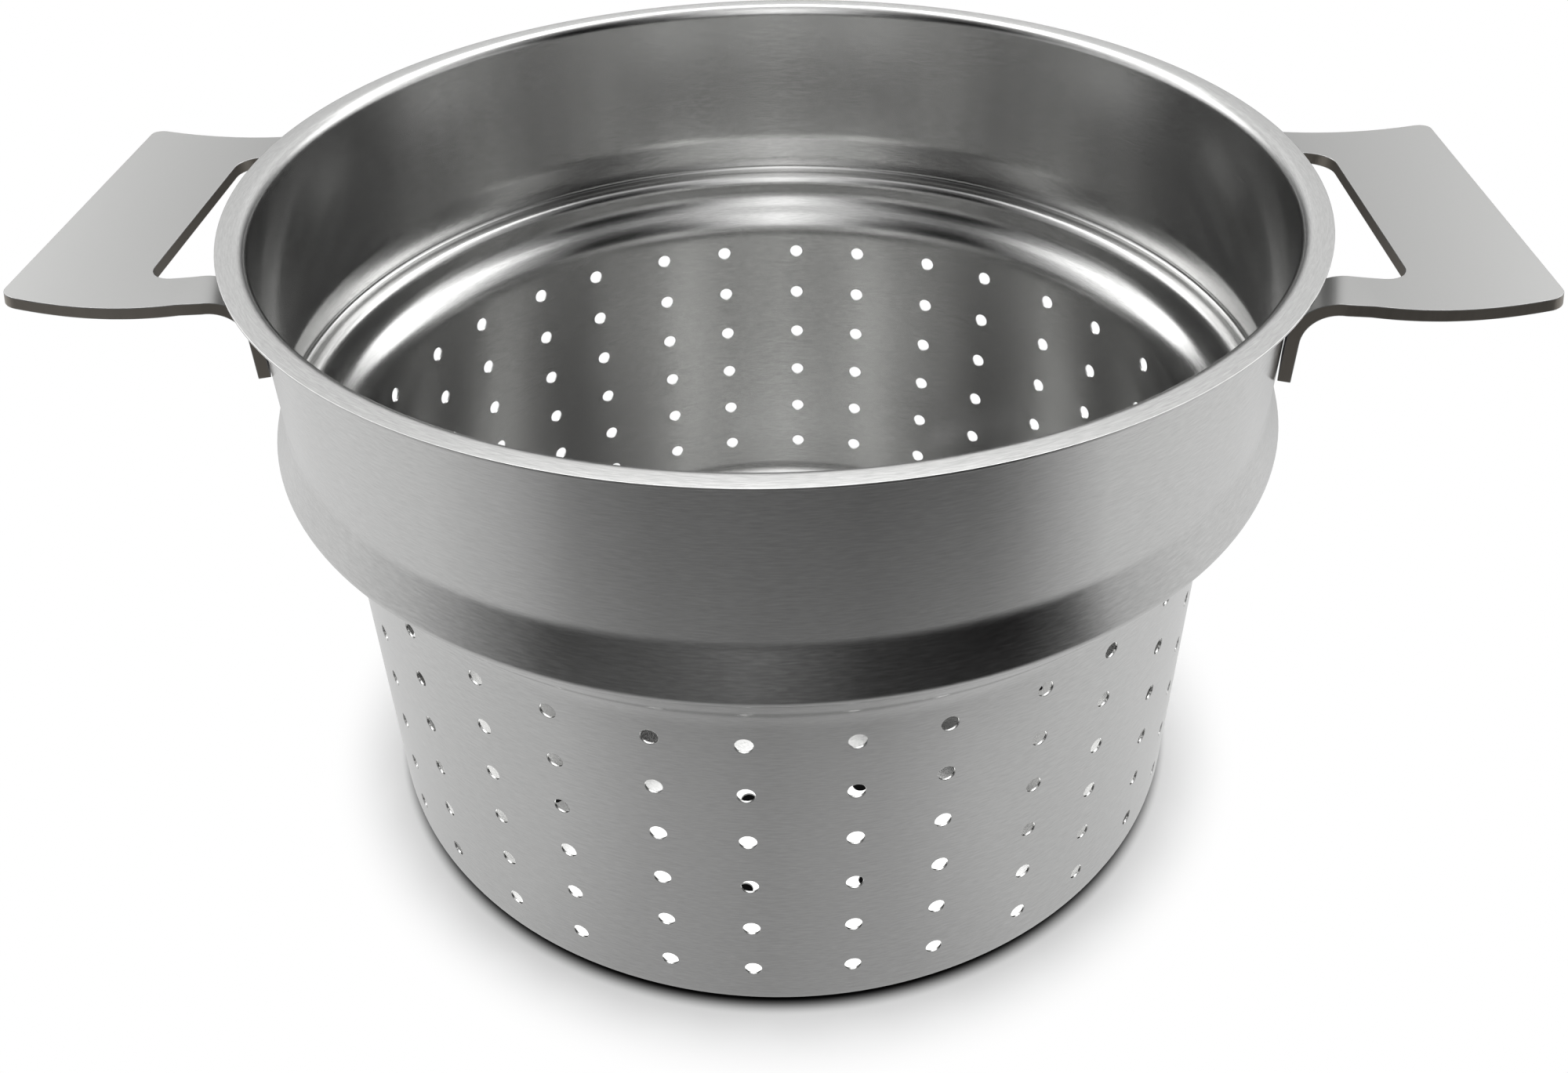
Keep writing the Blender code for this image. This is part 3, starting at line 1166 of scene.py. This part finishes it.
@dataclass
class Studio:
    """Floor, lamps and world: a plain pale set with soft light.

    The floor's colour is painted near black under the base's round corner: a painted contact shadow, where
    little light gets in. From there the soft shadow fades outwards into plain white.
    """

    floor_size: float = 4.0
    floor_grey: float = 0.90
    # Painted contact shadow: the floor's colour fades from this near black to its grey between these two
    # radii.
    painted_contact_shadow_grey: float = 0.004
    painted_shadow_start_radius: float = 0.1078
    painted_shadow_end_radius: float = 0.1124
    white_start: float = 0.110
    white_full: float = 0.132
    room_grey: float = 0.62
    mirrored: MirroredRoom = field(default_factory=MirroredRoom)
    lamps: tuple[SoftLamp, ...] = (
        SoftLamp("top_lamp", (0.0, 0.25, 1.1), 0.9, 12.0),
        SoftLamp("left_lamp", (-1.0, -0.3, 0.5), 0.7, 5.0),
        SoftLamp("right_lamp", (1.0, -0.2, 0.5), 0.7, 5.0),
    )

    def floor_to_camera(
        self, tree: bpy.types.NodeTree, camera_ray: bpy.types.NodeSocket
    ) -> bpy.types.NodeSocket:
        """Add the nodes of the floor that the camera sees: matt with its shadow and a painted contact
        shadow, then plain white.

        Args:
            tree: The floor's tree.
            camera_ray: Whether the ray is the camera's. The white lights nothing else.

        Returns:
            The shader.
        """
        place = add_node(tree, "ShaderNodeTexCoord")
        distance = add_node(
            tree, "ShaderNodeVectorMath", {"operation": "LENGTH"}, links={0: place.outputs["Object"]}
        )
        # Painted contact shadow: the matt colour runs from near black at the base's edge out to the
        # floor's grey.
        grey = add_node(
            tree,
            "ShaderNodeMapRange",
            {"interpolation_type": Fade.SOFT.value},
            {
                "From Min": self.painted_shadow_start_radius,
                "From Max": self.painted_shadow_end_radius,
                "To Min": self.painted_contact_shadow_grey,
                "To Max": self.floor_grey,
            },
            {"Value": distance.outputs["Value"]},
        )
        matt = add_node(tree, "ShaderNodeBsdfDiffuse", links={"Color": grey.outputs["Result"]})
        white = add_node(
            tree,
            "ShaderNodeEmission",
            values={"Color": WHITE},
            links={"Strength": camera_ray},
        )
        share = add_node(
            tree,
            "ShaderNodeMapRange",
            {"interpolation_type": Fade.SOFT.value},
            {"From Min": self.white_start, "From Max": self.white_full},
            {"Value": distance.outputs["Value"]},
        )
        seen = add_node(
            tree,
            "ShaderNodeMixShader",
            links={0: share.outputs["Result"], 1: matt.outputs["BSDF"], 2: white.outputs["Emission"]},
        )
        return seen.outputs["Shader"]

    def floor(self) -> None:
        """Lay the floor: white with a soft shadow and a painted contact shadow to the camera, the mirrored
        room's tones to metal.
        """
        deselect_all()
        bpy.ops.mesh.primitive_plane_add(size=self.floor_size)
        plate = bpy.context.object
        plate.name = "floor"
        material, tree = new_material("white floor")
        rays = add_node(tree, "ShaderNodeLightPath")
        to_metal = add_node(
            tree,
            "ShaderNodeEmission",
            values={"Strength": 1.0},
            links={"Color": self.mirrored.floor_tone(tree)},
        )
        surface = add_node(
            tree,
            "ShaderNodeMixShader",
            links={
                0: rays.outputs["Is Glossy Ray"],
                1: self.floor_to_camera(tree, rays.outputs["Is Camera Ray"]),
                2: to_metal.outputs["Emission"],
            },
        )
        add_node(tree, "ShaderNodeOutputMaterial", links={"Surface": surface.outputs["Shader"]})
        plate.data.materials.append(material)

    def world(self) -> None:
        """Light the set from all round: white to the camera, toned to metal, grey to everything else."""
        world = bpy.data.worlds.new("studio")
        bpy.context.scene.world = world
        world.use_nodes = True
        tree = world.node_tree
        tree.nodes.clear()
        rays = add_node(tree, "ShaderNodeLightPath")
        seen = add_node(
            tree,
            "ShaderNodeMath",
            {"operation": "MAXIMUM"},
            links={0: rays.outputs["Is Camera Ray"], 1: rays.outputs["Is Transmission Ray"]},
        )
        white = add_node(tree, "ShaderNodeBackground", values={"Color": WHITE, "Strength": 1.0})
        grey = (self.room_grey, self.room_grey, self.room_grey, 1)
        room = add_node(tree, "ShaderNodeBackground", values={"Color": grey, "Strength": 1.0})
        mirrored = add_node(
            tree,
            "ShaderNodeBackground",
            values={"Strength": 1.0},
            links={"Color": self.mirrored.wall_tone(tree)},
        )
        to_metal = add_node(
            tree,
            "ShaderNodeMixShader",
            links={
                0: rays.outputs["Is Glossy Ray"],
                1: room.outputs["Background"],
                2: mirrored.outputs["Background"],
            },
        )
        surface = add_node(
            tree,
            "ShaderNodeMixShader",
            links={
                0: seen.outputs["Value"],
                1: to_metal.outputs["Shader"],
                2: white.outputs["Background"],
            },
        )
        add_node(tree, "ShaderNodeOutputWorld", links={"Surface": surface.outputs["Shader"]})

    def build(self) -> None:
        """Set up the floor, the world and the lamps."""
        self.floor()
        self.world()
        for lamp in self.lamps:
            lamp.build()


@dataclass(frozen=True)
class PhotoCamera:
    """The camera of the photograph, as fitted to its rim, creases, base and holes."""

    place: Place = (0.015346, -0.319484, 0.307230)
    heading: float = math.radians(3.569)
    elevation: float = 0.6392
    roll: float = -0.0293
    focal_px: float = 1868.8
    shift: Point = (0.015, -0.02225)
    nearest: float = 0.01

    def build(self) -> None:
        """Add the camera and make it the scene's."""
        data = bpy.data.cameras.new("photo_camera")
        data.sensor_width = SENSOR_WIDTH_MM
        data.lens = self.focal_px * SENSOR_WIDTH_MM / PHOTO_WIDTH
        data.shift_x, data.shift_y = self.shift
        data.clip_start = self.nearest
        camera = bpy.data.objects.new("photo_camera", data)
        bpy.context.scene.collection.objects.link(camera)
        turn = (
            Matrix.Rotation(self.heading, 4, "Z")
            @ Matrix.Rotation(math.pi / 2 - self.elevation, 4, "X")
            @ Matrix.Rotation(self.roll, 4, "Z")
        )
        camera.matrix_world = Matrix.Translation(self.place) @ turn
        bpy.context.scene.camera = camera


def main() -> None:
    """Build every piece, the studio and the camera, and log each piece's triangles."""
    logging.basicConfig(level=logging.INFO, format="%(message)s")
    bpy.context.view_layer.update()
    shell = PerforatedShell()
    seat = (shell.collar_radius, shell.height)
    pieces = [
        shell,
        PlateHandle("right_plate_handle", "right_handle", Hand.RIGHT, *seat),
        PlateHandle("left_plate_handle", "left_handle", Hand.LEFT, *seat),
    ]
    for piece in pieces:
        built = piece.build()
        built.data.calc_loop_triangles()
        log.info("built %s: %d triangles", built.name, len(built.data.loop_triangles))
    Studio().build()
    PhotoCamera().build()
    bpy.context.scene.view_settings.view_transform = "Standard"


if __name__ == "__main__":
    main()
